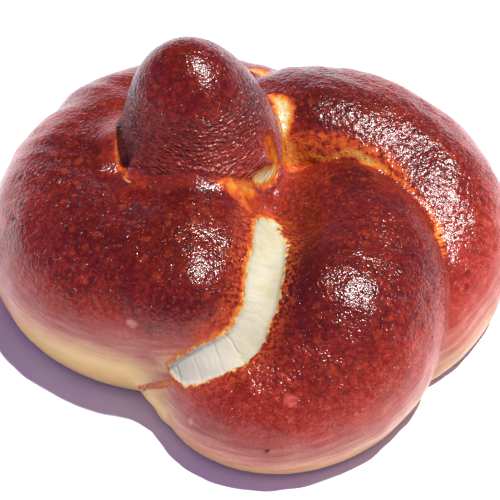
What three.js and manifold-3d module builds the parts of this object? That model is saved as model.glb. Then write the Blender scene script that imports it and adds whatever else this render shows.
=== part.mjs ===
// A pretzel roll: one strand of dough tied into a loose knot and baked. Four swollen lobes lie round the
// middle like the vanes of a pinwheel, each tucked under the next one, and the strand's end stands up
// through the middle as a nub. Millimetres, +Z up, the origin in the middle of the flat underside.

import * as THREE from 'three';
import { mergeVertices } from 'three/addons/utils/BufferGeometryUtils.js';
import Module from 'manifold-3d';

// Each lobe is an arc of the strand about a turning point of its own, seen from above. Its angles are in
// degrees, anticlockwise from +X. A size given as a list takes those values at even steps from the arc's
// first end to its far end, and runs smoothly through them. Heights are above the tray, so the lowest
// part of every lobe lies below it and is cut away.
const lobes = {
  front: {
    turn: [0.6, -17.8], radius: [27.5, 18, 15.8, 16], angles: [50, -129],
    axisHeight: [8.5, 8.5, 3.5], halfWidth: [16.5, 16.8, 16.4, 9], halfHeight: [15, 17, 9.5],
  },
  right: {
    turn: [8.5, 3], radius: [24, 24, 24], angles: [104, -47],
    axisHeight: [7, 7.5, 5], halfWidth: [14.5, 16.5, 15], halfHeight: [15, 17, 15],
  },
  left: {
    turn: [-10.3, 6.2], radius: [19.8, 23, 22.2], angles: [-88, -231],
    axisHeight: [12.5, 7.5, 7], halfWidth: [17.5, 17, 15], halfHeight: [19.5, 17.5, 16],
  },
  back: {
    turn: [-8.5, 1.5], radius: [30, 30, 30], angles: [126, 57],
    axisHeight: [7, 5.5, 5], halfWidth: [14.5, 15.5, 15], halfHeight: [15, 15.5, 15],
  },
};

// The nub is a leaning dome: it stands on foot, inside the knot, and its tip is off to one side by lean.
const nub = { foot: [-9, 13], lean: [-3.2, 2.5], bottom: 2, top: 45.4, radius: 16, fullness: 3 };

// Dough that fills the knot's middle, under the lobes: a low dome on the middle of the underside.
const heart = { centre: [0, 0], radius: 30, height: 19 };

// Facets: round each section, along each lobe, over each rounded end, and up the nub.
const facets = { round: 32, along: 26, end: 6, up: 16 };

const wasm = await Module();
wasm.setup();

// The one polynomial that takes the values at even steps from t = 0 to t = 1.
function through(values, t) {
  const last = values.length - 1;
  return values.reduce((total, value, own) => {
    const others = values.map((_, other) => (other === own ? 1 : (t * last - other) / (own - other)));
    return total + others.reduce((product, factor) => product * factor, value);
  }, 0);
}

// A closed skin over a row of rings, with a point at each end. A ring is an ellipse round its centre,
// which reaches to side in one direction and to rise in the other.
function skin(firstTip, rings, lastTip) {
  const points = [firstTip];
  for (const { centre, side, rise } of rings) {
    for (let i = 0; i < facets.round; i += 1) {
      const turn = (2 * Math.PI * i) / facets.round;
      points.push(centre.clone().addScaledVector(side, Math.cos(turn)).addScaledVector(rise, Math.sin(turn)));
    }
  }
  points.push(lastTip);
  const last = points.length - 1;
  const index = [];
  for (let i = 0; i < facets.round; i += 1) {
    const next = (i + 1) % facets.round;
    index.push(0, 1 + next, 1 + i);
    for (let ring = 1; ring < rings.length; ring += 1) {
      const [a, b] = [1 + (ring - 1) * facets.round, 1 + ring * facets.round];
      index.push(a + i, a + next, b + next, a + i, b + next, b + i);
    }
    index.push(last, last - facets.round + i, last - facets.round + next);
  }
  const geometry = new THREE.BufferGeometry().setFromPoints(points);
  geometry.setIndex(index);
  return geometry;
}

// A lobe: elliptical rings across its arc, and half an ellipsoid over each end.
function lobeGeometry({ turn, radius, angles, axisHeight, halfWidth, halfHeight }) {
  const up = new THREE.Vector3(0, 0, 1);
  const axisPoint = (t) => {
    const angle = THREE.MathUtils.degToRad(THREE.MathUtils.lerp(...angles, t));
    return new THREE.Vector3(
      turn[0] + through(radius, t) * Math.cos(angle), turn[1] + through(radius, t) * Math.sin(angle),
      through(axisHeight, t));
  };
  const step = 1e-3;
  const ringAt = (t, shrink, reach) => {
    const ahead = axisPoint(t + step).sub(axisPoint(t - step)).normalize();
    const side = new THREE.Vector3().crossVectors(up, ahead).normalize();
    const rise = new THREE.Vector3().crossVectors(ahead, side);
    const [width, height] = [through(halfWidth, t), through(halfHeight, t)];
    return {
      centre: axisPoint(t).addScaledVector(ahead, reach * Math.min(width, height)),
      side: side.multiplyScalar(width * shrink),
      rise: rise.multiplyScalar(height * shrink),
    };
  };
  const rings = [];
  for (let i = 1; i < facets.end; i += 1) {
    const quarter = (Math.PI / 2) * (i / facets.end);
    rings.push(ringAt(0, Math.sin(quarter), -Math.cos(quarter)));
  }
  for (let i = 0; i <= facets.along; i += 1) rings.push(ringAt(i / facets.along, 1, 0));
  for (let i = facets.end - 1; i > 0; i -= 1) {
    const quarter = (Math.PI / 2) * (i / facets.end);
    rings.push(ringAt(1, Math.sin(quarter), Math.cos(quarter)));
  }
  return skin(ringAt(0, 0, -1).centre, rings, ringAt(1, 0, 1).centre);
}

// A dome: level round rings whose radius falls off to nothing at the tip, along an axis that leans more
// and more. The nub is one, and so is the heart, which stands straight.
function domeGeometry({ foot, lean, bottom, top, radius, fullness }) {
  const ringAt = (rise) => {
    const width = radius * Math.sqrt(Math.max(0, 1 - rise ** fullness));
    return {
      centre: new THREE.Vector3(
        foot[0] + lean[0] * rise ** 2, foot[1] + lean[1] * rise ** 2, THREE.MathUtils.lerp(bottom, top, rise)),
      side: new THREE.Vector3(width, 0, 0),
      rise: new THREE.Vector3(0, width, 0),
    };
  };
  const rings = [];
  for (let i = 0; i < facets.up; i += 1) rings.push(ringAt(Math.sin((Math.PI / 2) * (i / facets.up))));
  return skin(new THREE.Vector3(foot[0], foot[1], bottom), rings, ringAt(1).centre);
}

function toSolid(geometry) {
  const bare = new THREE.BufferGeometry();
  bare.setAttribute('position', geometry.getAttribute('position'));
  bare.setIndex(geometry.getIndex());
  const merged = mergeVertices(bare);
  return new wasm.Manifold(new wasm.Mesh({
    numProp: 3,
    vertProperties: new Float32Array(merged.getAttribute('position').array),
    triVerts: new Uint32Array(merged.getIndex().array),
  }));
}

function toGeometry(solid) {
  const { vertProperties, triVerts } = solid.getMesh();
  const geometry = new THREE.BufferGeometry();
  geometry.setAttribute('position', new THREE.BufferAttribute(vertProperties, 3));
  geometry.setIndex(new THREE.BufferAttribute(triVerts, 1));
  geometry.computeVertexNormals();
  return geometry;
}

// The whole roll: lobes, nub and heart fused, cut flat where the roll lay on the baking tray, and moved
// so that the middle of its box is over the origin.
function rollGeometry() {
  const heartDome = {
    foot: heart.centre, lean: [0, 0], bottom: -heart.height, top: heart.height, radius: heart.radius, fullness: 2,
  };
  let solid = toSolid(domeGeometry(nub)).add(toSolid(domeGeometry(heartDome)));
  for (const lobe of Object.values(lobes)) solid = solid.add(toSolid(lobeGeometry(lobe)));
  const blockSide = 200;
  const tray = new THREE.BoxGeometry(blockSide, blockSide, blockSide).translate(0, 0, -blockSide / 2);
  const geometry = toGeometry(solid.subtract(toSolid(tray)));
  geometry.computeBoundingBox();
  const middle = geometry.boundingBox.getCenter(new THREE.Vector3());
  return geometry.translate(-middle.x, -middle.y, 0);
}

const crust = new THREE.MeshStandardMaterial({ color: 0x86301f, roughness: 0.3, metalness: 0 });

const roll = new THREE.Mesh(rollGeometry(), crust);
roll.name = 'pretzel_roll';

const group = new THREE.Group();
group.add(roll);

export default group;
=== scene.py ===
import math

import bpy
import numpy as np
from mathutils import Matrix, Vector


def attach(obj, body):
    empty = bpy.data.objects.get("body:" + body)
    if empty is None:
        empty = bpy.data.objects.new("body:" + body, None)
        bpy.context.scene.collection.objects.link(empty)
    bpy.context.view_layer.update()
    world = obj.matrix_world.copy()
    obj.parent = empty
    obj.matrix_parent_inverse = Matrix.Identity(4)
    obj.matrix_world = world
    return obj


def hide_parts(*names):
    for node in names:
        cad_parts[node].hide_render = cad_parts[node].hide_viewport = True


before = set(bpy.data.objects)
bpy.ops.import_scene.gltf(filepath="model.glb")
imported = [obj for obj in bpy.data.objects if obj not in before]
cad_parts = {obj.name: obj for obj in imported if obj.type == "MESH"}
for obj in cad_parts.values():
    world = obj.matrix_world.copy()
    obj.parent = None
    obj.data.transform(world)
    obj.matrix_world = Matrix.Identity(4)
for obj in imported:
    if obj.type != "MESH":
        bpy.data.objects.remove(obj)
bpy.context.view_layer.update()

# A pretzel roll: one strand of dough, knotted, dipped in lye and baked. Shapes are worked out in
# millimetres and degrees, and turned into metres when they go into a mesh.
metre = 1000.0

# The strand's four lobes, the nub where its end stands up, the dough that fills the middle (heart), and a
# low fill beside the nub (lip). A size given as a row takes those values at even steps from the lobe's
# first end to its far end.
knot = {
    "front": {"turn": (0.6, -17.8), "radius": (27.5, 18, 15.8, 16), "angles": (50, -129),
              "axisHeight": (8.5, 8.5, 3.5), "halfWidth": (16.5, 16.8, 16.4, 9), "halfHeight": (15, 17, 9.5)},
    "right": {"turn": (8.5, 3), "radius": (24, 24, 24), "angles": (104, -47),
              "axisHeight": (7, 7.5, 5), "halfWidth": (14.5, 16.5, 15), "halfHeight": (15, 17, 15)},
    "left": {"turn": (-10.3, 6.2), "radius": (19.8, 23, 22.2), "angles": (-88, -231),
             "axisHeight": (12.5, 7.5, 7), "halfWidth": (17.5, 17, 15), "halfHeight": (19.5, 17.5, 16)},
    "back": {"turn": (-8.5, 1.5), "radius": (30, 30, 30), "angles": (126, 57),
             "axisHeight": (7, 5.5, 5), "halfWidth": (14.5, 15.5, 15), "halfHeight": (15, 15.5, 15)},
}
nub = {"foot": (-9, 13), "lean": (-3.2, 2.5), "bottom": 2, "top": 45.4, "radius": 16, "fullness": 3}
heart = {"foot": (0, 0), "lean": (0, 0), "bottom": 0, "top": 19, "radius": 30, "fullness": 2}
lip = {"foot": (-22.5, 12), "lean": (0, 0), "bottom": 4, "top": 27.2, "radius": 12, "fullness": 2}
toMiddle = np.array([0.6, 0.94, 0.0])  # brings the middle of the roll's box over the origin


# The one polynomial that takes the values at even steps from t = 0 to t = 1.
def through(values, t):
    steps = np.linspace(0, 1, len(values))
    total = 0 * t
    for own, value in zip(steps, values):
        for other in steps[steps != own]:
            value = value * (t - other) / (own - other)
        total = total + value
    return total


# A point of a lobe's axis: an arc round the lobe's turning point, at the axis's height.
def axisPoint(lobe, t):
    start, end = np.radians(lobe["angles"])
    angle = start + (end - start) * t
    reach = through(lobe["radius"], t)
    x = lobe["turn"][0] + reach * np.cos(angle)
    y = lobe["turn"][1] + reach * np.sin(angle)
    return np.stack([x, y, through(lobe["axisHeight"], t)], -1) + toMiddle


# The directions at a point of the axis: ahead along it, level to its side, and up from it. The last
# value is how far the axis runs as t goes from 0 to 1, at the pace it has there.
def axisFrame(lobe, t):
    step = 1e-3
    ahead = (axisPoint(lobe, t + step) - axisPoint(lobe, t - step)) / (2 * step)
    pace = np.linalg.norm(ahead, axis=-1, keepdims=True)
    ahead = ahead / pace
    side = np.cross([0.0, 0.0, 1.0], ahead)
    side /= np.linalg.norm(side, axis=-1, keepdims=True)
    return ahead, side, np.cross(ahead, side), pace[..., 0]


# A lobe's skin: ellipses across the axis, and half an ellipsoid over each end, whose rings shrink by
# sin(quarter) as they move out by cos(quarter).
def lobeSkin(lobe, along, end, around):
    quarter = np.linspace(0.04, math.pi / 2, end, endpoint=False)
    t = np.concatenate([np.zeros(end), np.linspace(0, 1, along), np.ones(end)])
    shrink = np.concatenate([np.sin(quarter), np.ones(along), np.sin(quarter)[::-1]])
    move = np.concatenate([-np.cos(quarter), np.zeros(along), np.cos(quarter)[::-1]])
    ahead, side, rise, _ = axisFrame(lobe, t)
    width, height = through(lobe["halfWidth"], t), through(lobe["halfHeight"], t)
    centre = axisPoint(lobe, t) + ahead * (move * np.minimum(width, height))[:, None]
    turn = np.linspace(0, 2 * math.pi, around, endpoint=False)
    reach = side[:, None] * (width * shrink)[:, None, None] * np.cos(turn)[None, :, None]
    climb = rise[:, None] * (height * shrink)[:, None, None] * np.sin(turn)[None, :, None]
    return centre[:, None] + reach + climb


# A dome's skin: level rings of radius R * sqrt(1 - s^fullness), s going from 0 at the bottom to 1 at the
# tip, on an axis that leans by s^2.
def domeSkin(dome, up, around):
    s = np.sin(np.linspace(0, math.pi / 2 - 0.02, up))
    width = dome["radius"] * np.sqrt(1 - s ** dome["fullness"])
    turn = np.linspace(0, 2 * math.pi, around, endpoint=False)
    x = dome["foot"][0] + dome["lean"][0] * s[:, None] ** 2 + width[:, None] * np.cos(turn)
    y = dome["foot"][1] + dome["lean"][1] * s[:, None] ** 2 + width[:, None] * np.sin(turn)
    z = dome["bottom"] + (dome["top"] - dome["bottom"]) * s[:, None] + 0 * turn
    return np.stack([x, y, z], -1) + toMiddle


search = {"tries": 41, "rounds": 3, "share": 0.6}  # part steps, because full ones overshoot outside a bend


# How far points are from a lobe's skin, in mm, below 0 inside: length of (a, b, c) times (1 - 1/rho),
# where a, b and c are measured across, up and beyond the ends of the axis, and rho is
# sqrt((a/width)^2 + (b/height)^2 + (c/end)^2). Also gives the nearest place t, and the angle round it.
def lobeDistance(points, lobe, t=None):
    if t is None:
        tries = np.linspace(0, 1, search["tries"])
        axis = axisPoint(lobe, tries)
        t = tries[np.argmin((axis ** 2).sum(1) - 2 * points @ axis.T, axis=1)]
    for _ in range(search["rounds"]):
        ahead, side, rise, pace = axisFrame(lobe, t)
        beyond = ((points - axisPoint(lobe, t)) * ahead).sum(1)
        t = np.clip(t + search["share"] * beyond / pace, 0, 1)
    ahead, side, rise, pace = axisFrame(lobe, t)
    offset = points - axisPoint(lobe, t)
    a, b, c = (offset * side).sum(1), (offset * rise).sum(1), (offset * ahead).sum(1)
    width, height = through(lobe["halfWidth"], t), through(lobe["halfHeight"], t)
    rho = np.sqrt((a / width) ** 2 + (b / height) ** 2 + (c / np.minimum(width, height)) ** 2)
    rho = np.maximum(rho, 1e-3)
    return np.sqrt(a * a + b * b + c * c) * (1 - 1 / rho), t, np.arctan2(b, a)


# How far points are from a dome's skin: f over the length of its slope, where f is
# (distance from the leaning axis / radius)^2 + s^fullness - 1.
def domeDistance(points, dome):
    tall = dome["top"] - dome["bottom"]
    s = np.clip((points[:, 2] - dome["bottom"]) / tall, 0, 2)
    x = points[:, 0] - toMiddle[0] - dome["foot"][0] - dome["lean"][0] * s ** 2
    y = points[:, 1] - toMiddle[1] - dome["foot"][1] - dome["lean"][1] * s ** 2
    f = (x * x + y * y) / dome["radius"] ** 2 + s ** dome["fullness"] - 1
    across = 2 * np.sqrt(x * x + y * y) / dome["radius"] ** 2
    up = dome["fullness"] * s ** (dome["fullness"] - 1) / tall
    return f / np.maximum(np.sqrt(across ** 2 + up ** 2), 0.5 / dome["radius"])


# Where the strand pulled apart as it swelled, and pale crumb shows: a ribbon along the crease between the
# left and front lobes, with half its width at each point of its middle line.
crumb = {
    "middle": ((5, -4, 22.5), (4, -6, 23.5), (3.5, -10, 24.5), (3.5, -14.5, 25), (3, -18, 25),
               (2.5, -22, 24.5), (2, -25.5, 23.5), (1, -28, 22.5), (-0.5, -31, 21), (-3, -33, 19.5),
               (-7.5, -34, 17.5), (-11.5, -34, 15), (-14.5, -33, 12), (-16.5, -32.5, 10.5)),
    "halfWidth": (0.9, 2.0, 3, 2.9, 3.2, 3, 2.8, 2.7, 3, 3.2, 3.0, 2.4, 1.6, 0.8), "sink": 0.5, "steps": 6,
    "whiteEnd": (44.5, 47.5), "endSlant": 0.5, "endCut": 5,  # where the white fades out, in mm along it
    "fillet": 8.0, "filletFade": (5, 11),  # how softly the lobes meet along it, and how far from it that goes
    "depth": (2.5, 6), "depthCut": 8,  # how far under or over the line the ribbon still shows
    "edge": (-0.3, 0.6), "farthest": 8,
    # folds across it: how far along, in mm, and how strong
    "folds": ((10, 0.3), (14, 0.3), (24.5, 0.3), (31.5, 1), (35.5, 0.6), (40, 0.45), (44.5, 0.7)),
}

# How soft each crease is, in mm of blend, and how far it cuts in.
creases = {
    "plain": 1.3, "groove": 0.5, "grooveWidth": 0.9, "heart": 4.0, "tray": 2.5, "lip": 5.0,
    # round the nub's foot: the blend all round, then a soft side and a sharp side with its cleft
    "nubPlain": 3.6, "nubSoft": 9.0, "nubSoftSide": -104, "nubSoftSpread": (0.2, 0.9),
    "nubSharp": 0.6, "nubSharpSide": 165, "nubSharpSpread": (0.6, 0.85), "nubCleft": 0.5, "cleftWidth": 0.5,
}

# Broad swellings of each lobe and of the nub, which turn the skin a little: place, reach and height in mm.
swells = {
    "front": (((18, -24, 26), 9, 0.9), ((17, -34, 24), 9, -0.9), ((10, -21, 25), 9, 0.7),
              ((11, -14, 23), 9, 1.1), ((8, -17, 24), 9, 1), ((5, -35, 23), 9, -0.7),
              ((8.5, -40, 19), 9, -1.3), ((29, -6, 22), 9, 1.4)),
    "right": (((17, 17, 21), 10, 1.7), ((38, -3, 20), 8, -0.7), ((36, -4, 20), 8, -0.5),
              ((10, 20, 22), 10.5, 3.8), ((35, 1, 23), 10, -1), ((42, -11, 16), 9, -0.6),
              ((36, -16, 17.5), 10, -2)),
    "left": (((-8, -28, 27), 9, 1.3), ((-18, -5, 29), 8, -0.5), ((-24, -1, 26), 7, 1.5),
             ((-11, -16, 32), 9, -1.1), ((-2, -17, 30), 9, -1), ((-19, -26, 24), 9, 1.1),
             ((-5, -9, 30), 9, -0.8)),
    "nub": (((-5, 0, 26), 7, 1.5), ((-14, 9, 42), 6, -0.7), ((-7, 8, 41), 7, 1)),
}

# The roll's own unevenness: sets of waves, each with its height and length in mm and the seed that draws
# the waves' directions. A wave's length varies by the share in spread.
lumps = {
    "sets": ({"height": 0.16, "length": 26, "seed": 3}, {"height": 0.1, "length": 12, "seed": 8},
             {"height": 0.05, "length": 5, "seed": 5}),
    "waves": 14, "spread": 0.3,
}

# Places where the crust tore open or stayed thin: lines of points near the skin, each with half its width
# in mm and how pale it is, from 0.3 for orange through 0.65 for yellow to 1 for cream.
seams = (
    # from the middle to the nub's foot, in front
    ((-5, -1.5, 29.5, 0.8, 0.35), (-3.5, -1.5, 29, 1.3, 0.4), (-1.5, -1, 27.5, 1.6, 0.45),
     (0.5, 1, 25, 1.4, 0.45)),
    # up the nub's right side
    ((1.5, 3.5, 25, 1, 0.85), (3, 5.5, 23.5, 1.3, 1.1), (4.5, 7.5, 22.5, 1.1, 0.85), (5, 9.5, 23, 1, 0.55),
     (4, 9.5, 26.5, 2, 0.33), (3.5, 9.5, 28.5, 2, 0.24)),
    # between the nub and the right lobe
    ((4, 25.5, 24.5, 0.5, 0.5), (6, 23, 25, 1.2, 0.9), (6.5, 20, 25, 1.3, 1), (6.5, 17.5, 24, 0.9, 0.9),
     (6.5, 16, 23, 0.8, 0.6), (7, 14.5, 21.5, 1.6, 0.4), (8, 13.5, 20, 2.4, 0.5), (9.5, 13, 19.5, 2, 0.4)),
    # down the crease between the right and front lobes
    ((9, 13.5, 20, 0.8, 0.4), (11, 13.5, 21, 0.6, 0.5), (14, 12.5, 21, 0.6, 0.55),
     (17.5, 12, 22.5, 0.6, 0.55), (20, 12, 23, 0.7, 0.65), (22, 10.5, 22.5, 0.7, 0.7),
     (25, 8.5, 22.5, 0.55, 0.5), (28.5, 5, 22.5, 0.45, 0.3), (32.5, 0.5, 21.5, 0.45, 0.35),
     (35, -3.5, 20, 0.5, 0.55), (35, -5.5, 19.5, 0.5, 0.7), (35.5, -7.5, 18.5, 0.5, 0.55),
     (35.5, -9.5, 18, 0.45, 0.35)),
    # the thin crust beside it
    ((9.5, 15, 22, 2.2, 0.24), (14.5, 14, 23.5, 2, 0.22), (20.5, 12.5, 23.5, 1.8, 0.2),
     (25.5, 10, 23.5, 1.6, 0.18), (29, 6, 23, 1.3, 0.15)),
    # behind the nub, over the back lobe
    ((0.5, 37, 19.5, 0.6, 0.5), (2.5, 37, 19, 0.9, 0.8), (3.5, 34.5, 21, 0.6, 0.55)),
    # on from the white split's lower end
    ((-20, -31, 6.5, 0.45, 0.28), (-17.5, -32.5, 9, 0.5, 0.32), (-15.5, -33.5, 10.5, 0.5, 0.4),
     (-13, -34.5, 12.5, 0.5, 0.36)),
    # the nub's left foot
    ((-24, 15.5, 26, 0.7, 0.26), (-24, 12, 26.5, 0.9, 0.31), (-24, 9.5, 26, 1, 0.33),
     (-23.5, 7, 24.5, 0.8, 0.28), (-22.5, 3, 26, 0.6, 0.22)),
    # above the white split
    ((-2, -2.5, 27.5, 1.1, 0.25), (-0.5, -3.5, 26, 1.3, 0.33), (0.5, -4.5, 25.5, 0.9, 0.27)),
)

# Small marks on the crust: place, radius across and along the height in mm, how far it stands up as a
# ring, and what it does to the bake there (below 0 is paler).
blemishes = (
    ((-43, 8, 20), 1.2, 2.8, -0.2, 0.15), ((-42.5, 1, 21), 1, 1.2, -0.15, 0.15),
    ((-44, -1.5, 19.5), 0.9, 1.5, -0.2, 0.15),
    ((-21, -28, 21), 1.3, 0.9, 0.06, -0.3), ((3, -47.5, 9.5), 0.45, 0.45, -0.1, 0.9),
    ((-10.5, -41, 9.5), 0.7, 1.2, -0.08, -0.2), ((7.5, -42.5, 17.5), 1.3, 1.3, 0.05, -0.22),
    ((40.5, -11.5, 16), 0.7, 0.7, 0.14, 0.2), ((40.5, -14, 15), 0.7, 0.7, 0.14, 0.15),
    ((3.5, 3, 21), 1.9, 1.6, -0.35, 0.1),
    ((24.5, -26, 24.5), 0.9, 0.9, 0.1, -0.2), ((17.5, -21, 28), 1, 1, 0.1, -0.15),
    ((-12, 30, 24), 1, 1, 0.1, -0.2),
    ((-30, -19.5, 23.5), 1.1, 1.1, 0.1, -0.2), ((14, 34.5, 22.5), 0.9, 0.9, 0.1, -0.2),
)


# 0 up to low and 1 from high on, with s * s * (3 - 2 * s) between, s going evenly from 0 to 1.
def smoothStep(low, high, values):
    s = np.clip((values - low) / (high - low), 0, 1)
    return s * s * (3 - 2 * s)


# Two distances joined: the smaller one, rounded off where they differ by less than the fillet, plus a
# groove of bell shape where they are equal.
def joined(a, b, fillet, groove=0.0, width=1.0):
    h = np.maximum(fillet - np.abs(a - b), 0) / fillet
    return np.minimum(a, b) - h * h * fillet / 4 + groove * np.exp(-((a - b) / width) ** 2)


# Where points lie along a line of straight pieces: the distance along it, in mm, the offset from it, and
# the value there of each row of extra numbers that the line carries.
def alongLine(points, line, extra):
    line = np.array(line, float)
    run = np.concatenate([[0], np.cumsum(np.linalg.norm(np.diff(line, axis=0), axis=1))])
    best = np.full(len(points), np.inf)
    place = np.zeros(len(points))
    offset = np.zeros((len(points), 3))
    heading = np.zeros((len(points), 3))
    for start, end, before, after in zip(line[:-1], line[1:], run[:-1], run[1:]):
        ahead = end - start
        share = np.clip(((points - start) @ ahead) / (ahead @ ahead), 0, 1)
        away = points - start - share[:, None] * ahead
        far = (away ** 2).sum(1)
        nearer = far < best
        best = np.where(nearer, far, best)
        place = np.where(nearer, before + share * (after - before), place)
        offset = np.where(nearer[:, None], away, offset)
        heading = np.where(nearer[:, None], ahead / np.linalg.norm(ahead), heading)
    return place, offset, heading, np.interp(place, run, extra)


# A smooth line through a few points: Catmull-Rom pieces, each cut into steps.
def smoothLine(points, steps):
    points = np.array(points, float)
    padded = np.concatenate([2 * points[:1] - points[1:2], points, 2 * points[-1:] - points[-2:-1]])
    a, b, c, d = padded[:-3], padded[1:-2], padded[2:-1], padded[3:]
    s = np.linspace(0, 1, steps, endpoint=False)[None, :, None]
    a, b, c, d = a[:, None], b[:, None], c[:, None], d[:, None]
    curve = 2 * b + (c - a) * s
    curve = curve + (2 * a - 5 * b + 4 * c - d) * s ** 2
    curve = 0.5 * (curve + (3 * b - a - 3 * c + d) * s ** 3)
    return np.concatenate([curve.reshape(-1, points.shape[1]), points[-1:]])


crumbLine = smoothLine(np.column_stack([crumb["middle"], crumb["halfWidth"]]), crumb["steps"])


# The angle of points round the nub's foot, seen from above.
def nubTurn(points):
    away = points[:, :2] - nub["foot"] - toMiddle[:2]
    return np.arctan2(away[:, 1], away[:, 0])


# The whole roll's distance: the lobes joined crease by crease, then the heart and the nub, then cut off
# level at the tray. Near gives each lobe's nearest place from an earlier call, to start from. Each
# swelling takes height * e^-(distance / reach)^2 off its lobe's distance.
def rollDistance(points, near=None):
    far, place, around = {}, {}, {}
    for name, lobe in knot.items():
        far[name], place[name], around[name] = lobeDistance(points, lobe, near[name] if near else None)
    far["nub"] = domeDistance(points, nub)
    for name, rows in swells.items():
        for centre, reach, height in rows:
            far[name] = far[name] - height * np.exp(-((points - centre) ** 2).sum(1) / reach ** 2)
    plain, groove, width = creases["plain"], creases["groove"], creases["grooveWidth"]
    whole = joined(far["front"], far["right"], plain, groove, width)
    whole = joined(whole, far["back"], plain, groove, width)
    _, offset, _, _ = alongLine(points, crumbLine[:, :3], crumbLine[:, 3])
    onCrumb = 1 - smoothStep(*crumb["filletFade"], np.linalg.norm(offset, axis=1))
    fillet = plain + (crumb["fillet"] - plain) * onCrumb
    whole = joined(whole, far["left"], fillet, groove * (1 - onCrumb), width)
    whole = joined(whole, domeDistance(points, heart), creases["heart"])
    whole = joined(whole, domeDistance(points, lip), creases["lip"])
    turn = nubTurn(points)
    soft = smoothStep(*creases["nubSoftSpread"], np.cos(turn - math.radians(creases["nubSoftSide"])))
    sharp = smoothStep(*creases["nubSharpSpread"], np.cos(turn - math.radians(creases["nubSharpSide"])))
    fillet = creases["nubPlain"] + (creases["nubSoft"] - creases["nubPlain"]) * soft
    fillet = fillet + (creases["nubSharp"] - fillet) * sharp
    whole = joined(whole, far["nub"], fillet, creases["nubCleft"] * sharp, creases["cleftWidth"])
    whole = -joined(-whole, points[:, 2], creases["tray"])
    return whole, far, place, around


# Sums of sine waves that run in all directions, scaled so that a set's height doesn't grow with its count.
def unevenness(points):
    total = np.zeros(len(points))
    count, spread = lumps["waves"], lumps["spread"]
    for wave in lumps["sets"]:
        draw = np.random.default_rng(wave["seed"])
        ways = draw.normal(size=(count, 3))
        pace = 2 * math.pi / wave["length"] * draw.uniform(1 - spread, 1 + spread, (count, 1))
        ways *= pace / np.linalg.norm(ways, axis=1)[:, None]
        waves = np.sin(points @ ways.T + draw.uniform(0, 6.28, count))
        total += wave["height"] * waves.sum(1) / math.sqrt(count / 2)
    return total


# How fine the mesh is: rings and points of the first skins, the size of the fused mesh's squares in mm,
# and how often its points go onto the skin and are evened out.
meshing = {
    "along": 40, "end": 8, "around": 48, "up": 24, "square": 0.57,
    "rounds": 5, "relaxing": 2, "spotRounds": 3, "longestStep": 1.0, "slopeStep": 0.05,
    "leastSlope": 0.2, "slide": 0.5,
}


# Closed skins, each a grid of rings, as one mesh: four-sided faces between the rings, and one face that
# closes each end.
def meshOfSkins(name, skins):
    points, faces, first = [], [], 0
    for skin in skins:
        rings, around = skin.shape[:2]
        ring, step = np.meshgrid(np.arange(rings - 1), np.arange(around), indexing="ij")
        here, nextStep = ring * around, (step + 1) % around
        quads = np.stack([here + step, here + nextStep, here + around + nextStep, here + around + step], -1)
        faces += (quads.reshape(-1, 4) + first).tolist()
        faces += [list(range(first + around - 1, first - 1, -1))]
        faces += [list(range(first + (rings - 1) * around, first + rings * around))]
        points.append(skin.reshape(-1, 3))
        first += rings * around
    mesh = bpy.data.meshes.new(name)
    mesh.from_pydata((np.concatenate(points) / metre).tolist(), [], faces)
    return mesh


# The skins fused into one closed surface of small even squares: a voxel remesh, read back as arrays.
def fused(mesh):
    rough = bpy.data.objects.new(mesh.name, mesh)
    bpy.context.scene.collection.objects.link(rough)
    remesh = rough.modifiers.new("fuse", "REMESH")
    remesh.mode = "VOXEL"
    remesh.voxel_size = meshing["square"] / metre
    evaluated = rough.evaluated_get(bpy.context.evaluated_depsgraph_get()).to_mesh()
    points = np.zeros(len(evaluated.vertices) * 3)
    evaluated.vertices.foreach_get("co", points)
    corners = np.zeros(len(evaluated.loops), int)
    evaluated.loops.foreach_get("vertex_index", corners)
    rough.to_mesh_clear()
    bpy.data.objects.remove(rough)
    bpy.data.meshes.remove(mesh)
    return points.reshape(-1, 3) * metre, corners.reshape(-1, 4)


# Sums a value of each row into the points that the row names.
def gathered(rows, values, count):
    return np.stack([np.bincount(rows, values[:, axis], count) for axis in range(values.shape[1])], -1)


# Normals at the points: the cross products of the faces' diagonals, summed.
def pointNormals(points, quads):
    cross = np.cross(points[quads[:, 2]] - points[quads[:, 0]], points[quads[:, 3]] - points[quads[:, 1]])
    total = sum(gathered(quads[:, corner], cross, len(points)) for corner in range(4))
    return total / np.maximum(np.linalg.norm(total, axis=1, keepdims=True), 1e-12)


# Moves points onto the roll's skin: each round goes down the slope of the distance by the distance.
def settled(points, rounds, near=None):
    step = meshing["slopeStep"]
    for _ in range(rounds):
        far, _, near, _ = rollDistance(points, near)
        slope = np.stack([(rollDistance(points + step * way, near)[0] - far) / step for way in np.eye(3)], -1)
        move = -far[:, None] * slope / np.maximum((slope ** 2).sum(1, keepdims=True), meshing["leastSlope"])
        length = np.linalg.norm(move, axis=1, keepdims=True)
        points = points + move * np.minimum(1, meshing["longestStep"] / np.maximum(length, 1e-9))
    return points, near


# Evens out the mesh: each point slides half way to the middle of its neighbours, along the skin only.
def relaxed(points, quads):
    edges = np.concatenate([quads[:, [0, 1]], quads[:, [1, 2]], quads[:, [2, 3]], quads[:, [3, 0]]])
    total = gathered(edges[:, 0], points[edges[:, 1]], len(points))
    count = np.bincount(edges[:, 0], minlength=len(points))[:, None]
    slide = total / count - points
    normal = pointNormals(points, quads)
    return points + meshing["slide"] * (slide - (slide * normal).sum(1, keepdims=True) * normal)


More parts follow.
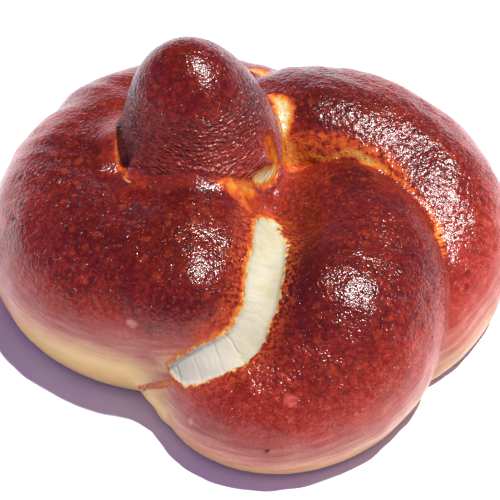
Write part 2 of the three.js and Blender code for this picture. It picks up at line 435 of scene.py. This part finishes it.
# The roll's points and faces: the skins fused, then settled and evened out in turn.
def rollPoints():
    skins = [lobeSkin(lobe, meshing["along"], meshing["end"], meshing["around"]) for lobe in knot.values()]
    skins += [domeSkin(dome, meshing["up"], meshing["around"]) for dome in (nub, heart, lip)]
    points, quads = fused(meshOfSkins("roughRoll", skins))
    points[:, 2] = np.maximum(points[:, 2], 0)
    points, near = settled(points, meshing["rounds"])
    for _ in range(meshing["relaxing"]):
        points, near = settled(relaxed(points, quads), 1, near)
    print("roll fused:", len(points), "points,", len(quads), "faces")
    return points, quads


# How brown the crust is, from how high it stands. Heights gives where each lobe's pale underside ends and
# where its full brown begins, in mm above the tray. Patches are places that are paler by an amount, or
# darker where it is below 0, with their reach in mm; the one on the nub's sun-facing side is painted shade.
baking = {
    "heights": {"left": (5.5, 28), "front": (-3, 28), "right": (-2, 30), "back": (0, 24), "nub": (-14, 50)},
    # the patch at (2, 12, 36) is painted shade: it darkens the side of the nub that faces the sun
    "patches": (((-19, -31, 5), 12, 0.4), ((-30, -25, 5), 13, 0.3), ((2, 12, 36), 11, -0.25),
                ((12, 32, 23), 14, -0.15), ((20, 7, 24), 9, -0.2), ((-44, -8, 6), 13, -0.22),
                ((12, -22, 25), 12, -0.1), ((-22, -12, 29), 15, -0.12), ((-23, -26, 20), 14, 0.17),
                ((33, 10, 24), 10, -0.1), ((-10, 12, 40), 14, -0.04), ((-32, 8, 22), 14, -0.15),
                ((8, -18, 26), 12, -0.2), ((30, -30, 20), 12, 0.08)),
    "patchNarrow": 1.7,  # a patch fades by e^-1 at its reach over this
    "facingUp": 3,  # a level skin bakes like an upright one that many mm higher
    "lobeBlend": 1.2,  # mm over which one lobe's bake passes into the next one's
    "besideSplit": 0.22, "besideReach": (-7, 0), "besideSide": (0, -2),  # thinner crust left of the split
    "least": -0.2, "most": 1.6,
}

# Where the other marks are, in mm, and how strong.
markLook = {
    "seamStrength": 1.1, "seamSoft": 1.25, "seamSink": 0.2, "seamSteps": 5, "creaseWidth": 1.3,
    "nubEdge": (0.5, 0), "nubShare": 0.2, "roundPace": 12, "lengthPace": 24, "heightPace": 1.6,
    "foot": (12, 3), "flank": (0.75, 0.3), "flankStrength": 0.35,
    "levelTop": (41, 37), "levelFull": (30, 24), "levelLeast": 0.55, "under": (-0.5, -0.9),
    "lumpsFoot": (0.5, 6), "lumpsOnNub": 0.4,
    # a blemish's ring and hollow, and how far its bake reaches, as shares of its radius
    "ring": (0.85, 0.35), "hollow": 0.6, "hollowDepth": 0.5, "blemishEdge": (0.6, 1.1),
}


# The bake at each point: a rise from the pale height to the brown one, each a mean of the lobes' by how
# near they are, e^-(distance / blend), less the patches' bells.
def bakeOf(points, height, facing, nearness, inside, across):
    ends = np.array(list(baking["heights"].values()))
    pale, brown = nearness @ ends[:, 0], nearness @ ends[:, 1]
    bake = np.clip((height + baking["facingUp"] * facing - pale) / (brown - pale), 0, 1)
    for centre, reach, amount in baking["patches"]:
        narrow = reach / baking["patchNarrow"]
        bake -= amount * np.exp(-((points - centre) ** 2).sum(1) / narrow ** 2)
    beside = smoothStep(*baking["besideReach"], inside) * smoothStep(*baking["besideSide"], across)
    return bake - baking["besideSplit"] * beside


# How torn each point is: the highest of the seams' bells, paleness * e^-(distance / width)^2.
def seamOf(points):
    seam = np.zeros(len(points))
    for line in seams:
        line = smoothLine(line, markLook["seamSteps"])
        line[:, :3] = settled(line[:, :3], meshing["spotRounds"])[0]  # from near the skin onto it
        _, offset, _, width = alongLine(points, line[:, :3], line[:, 3])
        paleness = alongLine(points, line[:, :3], line[:, 4])[3]
        reach = np.linalg.norm(offset, axis=1) / width
        bell = np.exp(-(reach / markLook["seamSoft"]) ** 2)
        seam = np.maximum(seam, markLook["seamStrength"] * paleness * bell)
    return seam


# The marks that the material reads at every point, and the fine shape that goes with them.
def markedSkin(points, quads):
    _, far, place, around = rollDistance(points)
    normal = pointNormals(points, quads)
    height, facing = points[:, 2], normal[:, 2]
    marks = {}

    # the crumb ribbon: place along it, across it, and how far inside its edge
    run, offset, heading, halfWidth = alongLine(points, crumbLine[:, :3], crumbLine[:, 3])
    across = (offset * np.cross(normal, heading)).sum(1)
    beyond = np.sqrt(np.maximum((offset ** 2).sum(1) - across ** 2, 0))
    inside = halfWidth - np.hypot(across, (offset * heading).sum(1))
    inside -= crumb["depthCut"] * smoothStep(*crumb["depth"], beyond)
    inside -= crumb["endCut"] * smoothStep(*crumb["whiteEnd"], run + crumb["endSlant"] * across)
    marks["crumbAlong"], marks["crumbAcross"] = run, across
    marks["crumbIn"] = np.clip(inside, -crumb["farthest"], crumb["farthest"])
    onCrumb = smoothStep(*crumb["edge"], inside)

    # how much each lobe has of a point, from how near its skin is
    names = list(baking["heights"])
    skins = np.stack([far[name] for name in names], -1)
    nearness = np.exp(-np.maximum(skins, 0) / baking["lobeBlend"])
    nearness /= nearness.sum(1, keepdims=True)
    marks["bake"] = bakeOf(points, height, facing, nearness, inside, across)

    # seams, and the creases between lobes
    ordered = np.sort(skins, axis=1)
    gap = (ordered[:, 1] - ordered[:, 0]) / markLook["creaseWidth"]
    marks["crease"] = np.exp(-gap ** 2) * (height > 1)
    marks["seam"] = seamOf(points)

    # directions of fine wrinkles: height on the nub, and the way round the section on a lobe
    skins = np.stack([far[name] for name in knot], -1)
    nearest, lowest = np.argmin(skins, axis=1), skins.min(1)
    widths = [through(lobe["halfWidth"], place[name]) for name, lobe in knot.items()]
    roundLobe = np.choose(nearest, [around[name] * width for name, width in zip(knot, widths)])
    lengthwise = np.choose(nearest, [place[name] * markLook["lengthPace"] for name in knot])
    onNub = smoothStep(*markLook["nubEdge"], far["nub"] - markLook["nubShare"] * lowest)
    upNub, roundNub = height * markLook["heightPace"], nubTurn(points) * markLook["roundPace"]
    marks["lengthwise"] = np.where(onNub > 0.5, roundNub, lengthwise)
    marks["wrinkle"] = np.where(onNub > 0.5, upNub, roundLobe)
    nubFoot = onNub * smoothStep(*markLook["foot"], lowest)
    flank = markLook["flankStrength"] * (1 - onNub) * smoothStep(*markLook["flank"], facing)
    marks["wrinkled"] = np.clip(nubFoot + flank, 0, 1)
    low = markLook["levelLeast"] + (1 - markLook["levelLeast"]) * smoothStep(*markLook["levelFull"], height)
    marks["level"] = onNub * smoothStep(*markLook["levelTop"], height) * low
    marks["peel"] = nearness[:, names.index("right")] * (1 - onNub)
    marks["under"] = smoothStep(*markLook["under"], facing)

    # fine shape: lumps, the sunk split, sunk seams, and each blemish's ring round a hollow
    evenness = 1 - (1 - markLook["lumpsOnNub"]) * onNub
    relief = unevenness(points) * smoothStep(*markLook["lumpsFoot"], height) * evenness
    relief -= onCrumb * crumb["sink"] + markLook["seamSink"] * marks["seam"]
    middle, spread = markLook["ring"]
    spots = settled(np.array([row[0] for row in blemishes], float), meshing["spotRounds"])[0]
    for centre, (_, wide, tall, ring, change) in zip(spots, blemishes):
        away = points - centre
        rho = np.sqrt((away[:, 0] ** 2 + away[:, 1] ** 2) / wide ** 2 + (away[:, 2] / tall) ** 2)
        hollow = markLook["hollowDepth"] * np.exp(-(rho / markLook["hollow"]) ** 2)
        relief += ring * (np.exp(-((rho - middle) / spread) ** 2) - hollow)
        marks["bake"] = marks["bake"] + change * (1 - smoothStep(*markLook["blemishEdge"], rho))
    marks["bake"] = np.clip(marks["bake"], baking["least"], baking["most"])
    print("skin marked:", ", ".join(marks))
    return points + relief[:, None] * normal, marks


# An object whose mesh carries each mark as a number at every point.
def makePiece(name, points, quads, marks, material):
    mesh = bpy.data.meshes.new(name)
    mesh.from_pydata((points / metre).tolist(), [], quads.tolist())
    for mark, values in marks.items():
        layer = mesh.attributes.new(mark, "FLOAT", "POINT")
        layer.data.foreach_set("value", values.astype(np.float32))
    mesh.polygons.foreach_set("use_smooth", np.ones(len(quads), bool))
    mesh.materials.append(material)
    piece = bpy.data.objects.new(name, mesh)
    bpy.context.scene.collection.objects.link(piece)
    return piece


# The crust's finish: its colours from unbaked to darkest, those of the torn places from crust to cream, and
# the roughness of each part.
crustLook = {
    "stops": ((0.0, (0.66, 0.45, 0.17)), (0.12, (0.58, 0.33, 0.14)), (0.27, (0.47, 0.16, 0.105)),
              (0.42, (0.37, 0.057, 0.038)), (0.58, (0.25, 0.021, 0.009)), (0.78, (0.124, 0.0085, 0.0035)),
              (1.0, (0.052, 0.003, 0.002))),
    "seamStops": ((0.08, (0.28, 0.028, 0.007)), (0.28, (0.46, 0.07, 0.009)), (0.55, (0.5, 0.17, 0.015)),
                  (0.85, (0.48, 0.34, 0.11)), (1.0, (0.52, 0.42, 0.23))),
    "spot": (0.32, 0.042, 0.008), "crease": (0.15, 0.015, 0.005), "under": (0.33, 0.16, 0.07),
    # the crumb's groove and fold colours are painted shade, darker where its fibres and folds sink in
    "crumb": (0.395, 0.37, 0.25), "crumbYellow": (0.4, 0.335, 0.17), "paintedGrooveShade": (0.33, 0.3, 0.195),
    # the crumb's end colour is painted light, for the split's lower end that turns away from the sun
    "paintedFoldShade": (0.28, 0.24, 0.155), "crumbEndPaintedLight": (0.49, 0.465, 0.36),
    "speckle": (0.38, 0.06, 0.008), "fringe": (0.47, 0.12, 0.012), "fringePale": (0.62, 0.36, 0.09),
    "roughness": 0.18, "paleRoughness": 0.34, "peelRoughness": 0.03, "crumbRoughness": 0.45,
    "underRoughness": 0.4, "gloss": 0.34, "sheen": 0.5, "sheenRoughness": 0.06,
    "sheenTint": (0.5, 0.62, 1, 1),
}

# How the crust's patterns go together.
crustMix = {
    "full": (0.35, 0.75),  # from which bake to which the browned crust's patterns set in
    "bake": 0.86, "darker": 0.03,  # how deep the colour goes, and how much deeper where full
    "palest": 0.1, "mottle": 0.4,  # the mottling on the palest crust, and what full crust has on top
    "pebble": 0.24, "pebbleSize": 1.05, "pebbleMiddle": 0.55, "pebbleDent": 0.07,
    "waver": 1.5, "waverSize": 1.4, "drawn": (0.1, 0.3), "tear": (0.0, 0.25), "torn": (0.05, 0.25),
    "spotFade": 0.06, "lengthPace": 0.5, "creaseLeast": 0.2, "creaseMore": 0.5, "under": 0.9,
    "peelSize": 1.1, "peelHeight": 0.13, "wrinklePace": 5.2, "wrinkleHeight": 0.045,
    "levelWay": (0.5, 0.5, 1.5), "levelOffSeam": (0.02, 0.3),
}

# The white split and what rims it: from where to where each part comes in, in mm inside the split's edge,
# and how strong it is. The left side counts as further in by a little.
splitMix = {
    "leftSide": (1.0, -1.0), "inside": (-0.3, 0.2),
    "speckles": (-4.0, -0.6), "specklesLeft": 1.5, "specklesBake": (0.15, 0.5), "speckleStrength": 0.7,
    "fringe": (-1.2, -0.1), "fringeLeft": 0.3, "fringeLeast": 0.6, "fringeMore": 0.5,
    "fringeEdge": (0.45, 0.95), "paleFringe": (-0.7, -0.2),
    # painted shade in the crumb's grooves and folds: where it comes in and how strong it is
    "fibrePace": 0.3, "grooveShadeRange": (0.55, 0.3), "grooveShadeStrength": 0.6,
    "foldWidth": 0.6, "foldShadeStrength": 0.4, "foldDepth": 0.1,
    "end": (28, 38), "endLightStrength": 0.8,  # where along it the crumb gets painted light on its lower end, which turns away from the sun
}

# Noises in the crust: the size of their grain in mm, how many finer layers they have, how rough those are,
# and how much each adds to what it is part of.
grains = {
    "fine": (0.4, 2.0, 0.7, 1.2), "streaks": (1.3, 3.0, 0.6, 0.7), "clouds": (5, 3.0, 0.5, 0.5),
    "broad": (18, 2.0, 0.5, 0.3), "drawn": (1 / 0.9, 3.0, 0.6, 0.5), "tear": (1.2, 3.0, 0.65, 1.1),
    "splitEdge": (1.1, 3.0, 0.65, 1.6), "fringe": (1.0, 3.0, 0.6, 2.2), "foldWander": (3.0, 2.0, 0.5, 1.8),
    "wrinkleWander": (3.0, 2.0, 0.5, 2.4), "skinFine": (0.45, 2.0, 0.6, 0.08),
    "skinBroad": (0.9, 2.0, 0.5, 0.14), "levelWrinkles": (1 / 1.5, 2.0, 0.5, 1.3),
    "fibre": (1 / 0.75, 3.0, 0.55, 0.14),
}

# Noises that break up a pattern: the size of their grain, its finer layers, and from where to where it
# comes in.
breaks = {
    "spots": (4, 2.0, 0.3, 0.6), "creases": (6, 2.0, 0.3, 0.6), "speckles": (0.7, 2.0, 0.45, 0.6),
    "fringePale": (1.3, 2.0, 0.45, 0.6), "crumbYellow": (2.6, 3.0, 0.5, 0.75),
    "wrinkles": (1.8, 2.0, 0.3, 0.65),
}

# Spots: their size in mm, the share of them that shows, from where to where they fade out as shares of the
# size, and how strong they are.
spotKinds = {
    "large": (2.2, 0.4, 0.15, 0.5, 0.35), "small": (0.9, 0.5, 0.1, 0.4, 0.6),
    "blister": (1.9, 0.35, 0.05, 0.3, 0.14), "pimple": (0.95, 0.35, 0.0, 0.35, 0.22),
}


# A value that runs through a material's nodes. Sums of wires and numbers add Math nodes, and node()
# adds any other node: its settings come first, then the values or wires of its sockets.
class Wire:
    def __init__(self, tree, socket=None):
        self.tree = tree
        self.socket = socket

    def node(self, kind, settings=None, sockets=None, out=0):
        made = self.tree.nodes.new(kind)
        for name, value in (settings or {}).items():
            if name == "stops":
                ramp = made.color_ramp
                while len(ramp.elements) < len(value):
                    ramp.elements.new(0.5)
                for element, (position, colour) in zip(ramp.elements, value):
                    element.position = position
                    element.color = (*colour, 1)
            else:
                setattr(made, name, value)
        for name, value in (sockets or {}).items():
            if isinstance(value, Wire):
                self.tree.links.new(value.socket, made.inputs[name])
            else:
                made.inputs[name].default_value = value
        return Wire(self.tree, made.outputs[out] if made.outputs else None)

    def maths(self, operation, *values):
        return self.node("ShaderNodeMath", {"operation": operation}, dict(enumerate(values)))

    def __add__(self, other):
        return self.maths("ADD", self, other)

    def __radd__(self, other):
        return self.maths("ADD", other, self)

    def __sub__(self, other):
        return self.maths("SUBTRACT", self, other)

    def __rsub__(self, other):
        return self.maths("SUBTRACT", other, self)

    def __mul__(self, other):
        return self.maths("MULTIPLY", self, other)

    def __rmul__(self, other):
        return self.maths("MULTIPLY", other, self)

    # 0 below low, 1 above high, and an even S between them
    def rise(self, low, high):
        return self.node("ShaderNodeMapRange", {"interpolation_type": "SMOOTHSTEP"},
                         {"Value": self, "From Min": low, "From Max": high})

    def mixed(self, colourA, colourB):
        sockets = {0: self, 6: colourA, 7: colourB}
        for key in (6, 7):
            if isinstance(sockets[key], tuple):
                sockets[key] = (*sockets[key], 1)
        return self.node("ShaderNodeMix", {"data_type": "RGBA"}, sockets, 2)


# A material with no nodes yet, and a wire to start its nodes from.
def newMaterial(name):
    material = bpy.data.materials.new(name)
    material.use_nodes = True
    material.node_tree.nodes.clear()
    return material, Wire(material.node_tree)


# The roll's material, from the inside of its expressions outwards: colour, fine shape, roughness, shader.
def rollMaterial():
    material, wire = newMaterial("bakedCrust")
    place = wire.node("ShaderNodeTexCoord", out="Object")

    def mark(name):
        return wire.node("ShaderNodeAttribute", {"attribute_name": name}, out="Fac")

    def noise(size, detail, roughness=0.5, way=None):
        return wire.node("ShaderNodeTexNoise", {}, {
            "Vector": way or place, "Scale": (1 if way else metre) / size, "Detail": detail,
            "Roughness": roughness})

    # a grain from half its strength below 0 to half above
    def grain(name):
        size, detail, roughness, strength = grains[name]
        return (noise(size, detail, roughness) - 0.5) * strength

    # a grain that only adds, up to its strength
    def added(name):
        size, detail, roughness, strength = grains[name]
        return noise(size, detail, roughness) * strength

    # 0 where a pattern is broken off, 1 where it is whole
    def broken(name):
        size, detail, low, high = breaks[name]
        return noise(size, detail).rise(low, high)

    # cells whose place wavers a little, so that their edges aren't straight
    waver = wire.node("ShaderNodeTexNoise", {}, {"Vector": place, "Scale": metre / crustMix["waverSize"]}, 1)
    wavy = wire.node("ShaderNodeVectorMath", {"operation": "MULTIPLY_ADD"}, {
        0: waver, 1: (crustMix["waver"] / metre,) * 3, 2: place})

    # spots: cells of a given size, of which those with a high random number are kept
    def spots(name):
        size, share, inner, outer, strength = spotKinds[name]
        cell = {"Vector": wavy, "Scale": metre / size}
        distance = wire.node("ShaderNodeTexVoronoi", {}, cell)
        colour = wire.node("ShaderNodeTexVoronoi", {}, cell, 1)
        pick = wire.node("ShaderNodeSeparateColor", {}, {"Color": colour})
        shown = pick.rise(1 - share, 1 + crustMix["spotFade"] - share)
        return (1 - distance.rise(inner, outer)) * shown * strength

    # the crust: the bake and its mottling pick a colour from the row of stops; the pale part, which isn't
    # full, has drawn-out streaks along the lobe instead
    bake = mark("bake")
    full = bake.rise(*crustMix["full"])
    mottle = grain("fine") + grain("streaks") + grain("clouds")
    pebble = wire.node("ShaderNodeTexVoronoi", {}, {"Vector": wavy, "Scale": metre / crustMix["pebbleSize"]})
    lie = wire.node("ShaderNodeCombineXYZ", {}, {
        0: mark("lengthwise") * crustMix["lengthPace"], 1: mark("wrinkle")})
    size, detail, roughness, strength = grains["drawn"]
    drawn = (noise(size, detail, roughness, lie) - 0.5) * strength
    drawn = drawn * (1 - full) * bake.rise(*crustMix["drawn"])
    depth = bake * crustMix["bake"] + mottle * (crustMix["palest"] + full * crustMix["mottle"])
    depth = depth + grain("broad") * full + (pebble - crustMix["pebbleMiddle"]) * full * crustMix["pebble"]
    depth = depth + drawn + full * crustMix["darker"]
    crustColour = wire.node("ShaderNodeValToRGB", {"stops": crustLook["stops"]}, {"Fac": depth})
    orange = (spots("large") + spots("small")) * full * broken("spots")
    crustColour = orange.mixed(crustColour, crustLook["spot"])
    crease = mark("crease") * broken("creases") * (full * crustMix["creaseMore"] + crustMix["creaseLeast"])
    crustColour = crease.mixed(crustColour, crustLook["crease"])

    # torn places
    seam = mark("seam")
    torn = seam + grain("tear") * seam.rise(*crustMix["tear"])
    tornColour = wire.node("ShaderNodeValToRGB", {"stops": crustLook["seamStops"]}, {"Fac": torn})
    crustColour = torn.rise(*crustMix["torn"]).mixed(crustColour, tornColour)

    # round the white split: speckles further out, then an orange fringe, then a pale one; the left side
    # has more of each
    across = mark("crumbAcross")
    edge = mark("crumbIn") + grain("splitEdge")
    leftSide = across.rise(*splitMix["leftSide"])
    speckled = (edge + leftSide * splitMix["specklesLeft"]).rise(*splitMix["speckles"]) * broken("speckles")
    speckled = speckled * bake.rise(*splitMix["specklesBake"]) * splitMix["speckleStrength"]
    crustColour = speckled.mixed(crustColour, crustLook["speckle"])
    fringe = (edge + leftSide * splitMix["fringeLeft"]).rise(*splitMix["fringe"])
    fringe = fringe * (leftSide * splitMix["fringeMore"] + splitMix["fringeLeast"]) + grain("fringe")
    crustColour = fringe.rise(*splitMix["fringeEdge"]).mixed(crustColour, crustLook["fringe"])
    pale = edge.rise(*splitMix["paleFringe"]) * broken("fringePale")
    crustColour = pale.mixed(crustColour, crustLook["fringePale"])

    # the white split: fibres along it and a few folds across, with painted shade where the fibres' grooves
    # and the folds sink in
    run = mark("crumbAlong")
    inCrumb = edge.rise(*splitMix["inside"])
    along = wire.node("ShaderNodeCombineXYZ", {}, {0: run, 1: across * splitMix["fibrePace"]})
    size, detail, roughness, fibreHeight = grains["fibre"]
    fibre = noise(size, detail, roughness, along)
    folds = 0.0
    for position, strength in crumb["folds"]:
        away = wire.maths("ABSOLUTE", run + grain("foldWander") - position)
        folds = (1 - away.rise(0.0, splitMix["foldWidth"])) * strength + folds
    # painted shade: the crumb darkens where its fibres' grooves and its folds sink in
    paintedShade = fibre.rise(*splitMix["grooveShadeRange"]) * splitMix["grooveShadeStrength"]
    crumbColour = broken("crumbYellow").mixed(crustLook["crumb"], crustLook["crumbYellow"])
    crumbColour = paintedShade.mixed(crumbColour, crustLook["paintedGrooveShade"])
    crumbColour = (folds * splitMix["foldShadeStrength"]).mixed(crumbColour, crustLook["paintedFoldShade"])
    # painted light on the split's lower end, which turns away from the sun
    paintedEndLight = run.rise(*splitMix["end"]) * splitMix["endLightStrength"]
    crumbColour = paintedEndLight.mixed(crumbColour, crustLook["crumbEndPaintedLight"])
    colour = inCrumb.mixed(crustColour, crumbColour)
    under = mark("under")
    colour = (under * crustMix["under"]).mixed(colour, crustLook["under"])

    # fine shape, in mm: skin wrinkles on the brown crust, orange peel on the right lobe, level wrinkles on
    # the nub, grooves on the crumb, and stretch wrinkles round the nub's foot and down the flanks
    skin = added("skinFine") + added("skinBroad") - pebble * crustMix["pebbleDent"]
    rind = wire.node("ShaderNodeTexVoronoi", {"feature": "SMOOTH_F1"}, {
        "Vector": place, "Scale": metre / crustMix["peelSize"]})
    peel = rind * mark("peel") * crustMix["peelHeight"]
    phase = mark("wrinkle") + added("wrinkleWander")
    waves = wire.maths("SINE", phase * crustMix["wrinklePace"])
    wrinkles = waves * mark("wrinkled") * broken("wrinkles") * crustMix["wrinkleHeight"]
    levelWay = wire.node("ShaderNodeVectorMath", {"operation": "MULTIPLY"}, {
        0: place, 1: tuple(metre * pace for pace in crustMix["levelWay"])})
    size, detail, roughness, strength = grains["levelWrinkles"]
    level = noise(size, detail, roughness, levelWay) * mark("level") * strength
    level = level * (1 - seam.rise(*crustMix["levelOffSeam"]))
    onCrust = (skin + peel + spots("blister") + spots("pimple") + level) * full + wrinkles
    height = onCrust * (1 - inCrumb) + (fibre * fibreHeight - folds * splitMix["foldDepth"]) * inCrumb
    bump = wire.node("ShaderNodeBump", {}, {"Strength": 1.0, "Distance": 1 / metre, "Height": height})
    roughness = crustLook["roughness"] + (1 - full) * (crustLook["paleRoughness"] - crustLook["roughness"])
    roughness = roughness + mark("peel") * full * crustLook["peelRoughness"]
    roughness = roughness + inCrumb * crustLook["crumbRoughness"] + under * crustLook["underRoughness"]
    shader = wire.node("ShaderNodeBsdfPrincipled", {}, {
        "Base Color": colour, "Roughness": roughness, "Normal": bump, "IOR": 1.5,
        "Specular IOR Level": crustLook["gloss"], "Sheen Weight": crustLook["sheen"],
        "Sheen Roughness": crustLook["sheenRoughness"], "Sheen Tint": crustLook["sheenTint"]})
    wire.node("ShaderNodeOutputMaterial", {}, {"Surface": shader})
    return material


points, quads = rollPoints()
points, marks = markedSkin(points, quads)
roll = makePiece("bakedRoll", points, quads, marks, rollMaterial())
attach(roll, "root")
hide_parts("pretzel_roll")
print("roll made")

# The floor in metres; the sky's colours, the ways they lie and how far they spread; the sun.
stage = {
    "floor": 4.0, "floorColour": (0.9, 0.9, 0.9), "floorRoughness": 0.8,
    "sky": (0.2, 0.13, 0.42), "darkSky": (0.14, 0.12, 0.18), "darkWay": (0.1, 0.6, 0.79),
    "darkSpread": (0.5, 0.9), "horizon": (0.28, 0.22, 0.5), "horizonReach": (0.4, 0.05),
    "glow": (0.6, 0.55, 0.75), "glowWay": (0.45, -0.89, 0), "glowSpread": (0.95, 0.995),
    "glowFoot": (0.0, 0.15), "glowTop": (0.8, 0.6),
    "sunWay": (0.3, 0.17, 0.94), "sun": 6.5, "sunSize": 2.5,
}
camera = {"aim": (0.13, -0.06, 9), "elevation": 49, "away": 520, "lens": 199.2, "sensor": 36}


# A pale floor, a dim sky with a brighter rim and a glow behind the camera, and the sun.
def makeStage():
    mesh = bpy.data.meshes.new("floor")
    half = stage["floor"] / 2
    corners = [(-half, -half, 0), (half, -half, 0), (half, half, 0), (-half, half, 0)]
    mesh.from_pydata(corners, [], [(0, 1, 2, 3)])
    floor = bpy.data.objects.new("floor", mesh)
    bpy.context.scene.collection.objects.link(floor)
    material, wire = newMaterial("paleFloor")
    shader = wire.node("ShaderNodeBsdfPrincipled", {}, {
        "Base Color": (*stage["floorColour"], 1), "Roughness": stage["floorRoughness"]})
    wire.node("ShaderNodeOutputMaterial", {}, {"Surface": shader})
    mesh.materials.append(material)
    world = bpy.data.worlds.new("sky")
    world.use_nodes = True
    wire = Wire(world.node_tree)
    way = wire.node("ShaderNodeTexCoord", out="Generated")

    # how far two ways agree, from -1 to 1
    def agreement(one, other):
        return wire.node("ShaderNodeVectorMath", {"operation": "DOT_PRODUCT"}, {0: one, 1: other}, 1)

    sky = agreement(way, stage["darkWay"]).rise(*stage["darkSpread"]).mixed(stage["sky"], stage["darkSky"])
    climb = agreement(way, (0, 0, 1))
    sky = climb.rise(*stage["horizonReach"]).mixed(sky, stage["horizon"])
    level = wire.node("ShaderNodeVectorMath", {"operation": "MULTIPLY"}, {0: way, 1: (1, 1, 0)})
    level = wire.node("ShaderNodeVectorMath", {"operation": "NORMALIZE"}, {0: level})
    glow = agreement(level, stage["glowWay"]).rise(*stage["glowSpread"])
    glow = glow * climb.rise(*stage["glowFoot"]) * climb.rise(*stage["glowTop"])
    sky = glow.mixed(sky, stage["glow"])
    world.node_tree.links.new(sky.socket, world.node_tree.nodes["Background"].inputs["Color"])
    bpy.context.scene.world = world
    sun = bpy.data.objects.new("sun", bpy.data.lights.new("sun", "SUN"))
    sun.data.energy = stage["sun"]
    sun.data.angle = math.radians(stage["sunSize"])
    sun.rotation_mode = "QUATERNION"
    sun.rotation_quaternion = Vector(stage["sunWay"]).to_track_quat("Z", "Y")
    bpy.context.scene.collection.objects.link(sun)


# The camera looks down at its aim from the front, from a given elevation and distance in mm.
def makeCamera():
    eye = bpy.data.objects.new("eye", bpy.data.cameras.new("eye"))
    bpy.context.scene.collection.objects.link(eye)
    tilt = math.radians(camera["elevation"])
    back = Vector((0, -math.cos(tilt), math.sin(tilt)))
    eye.location = (Vector(camera["aim"]) + back * camera["away"]) / metre
    eye.rotation_mode = "QUATERNION"
    eye.rotation_quaternion = back.to_track_quat("Z", "Y")
    eye.data.lens = camera["lens"]
    eye.data.sensor_width = camera["sensor"]
    bpy.context.scene.camera = eye


makeStage()
makeCamera()
print("stage and camera made")
bpy.context.scene.view_settings.view_transform = "Standard"
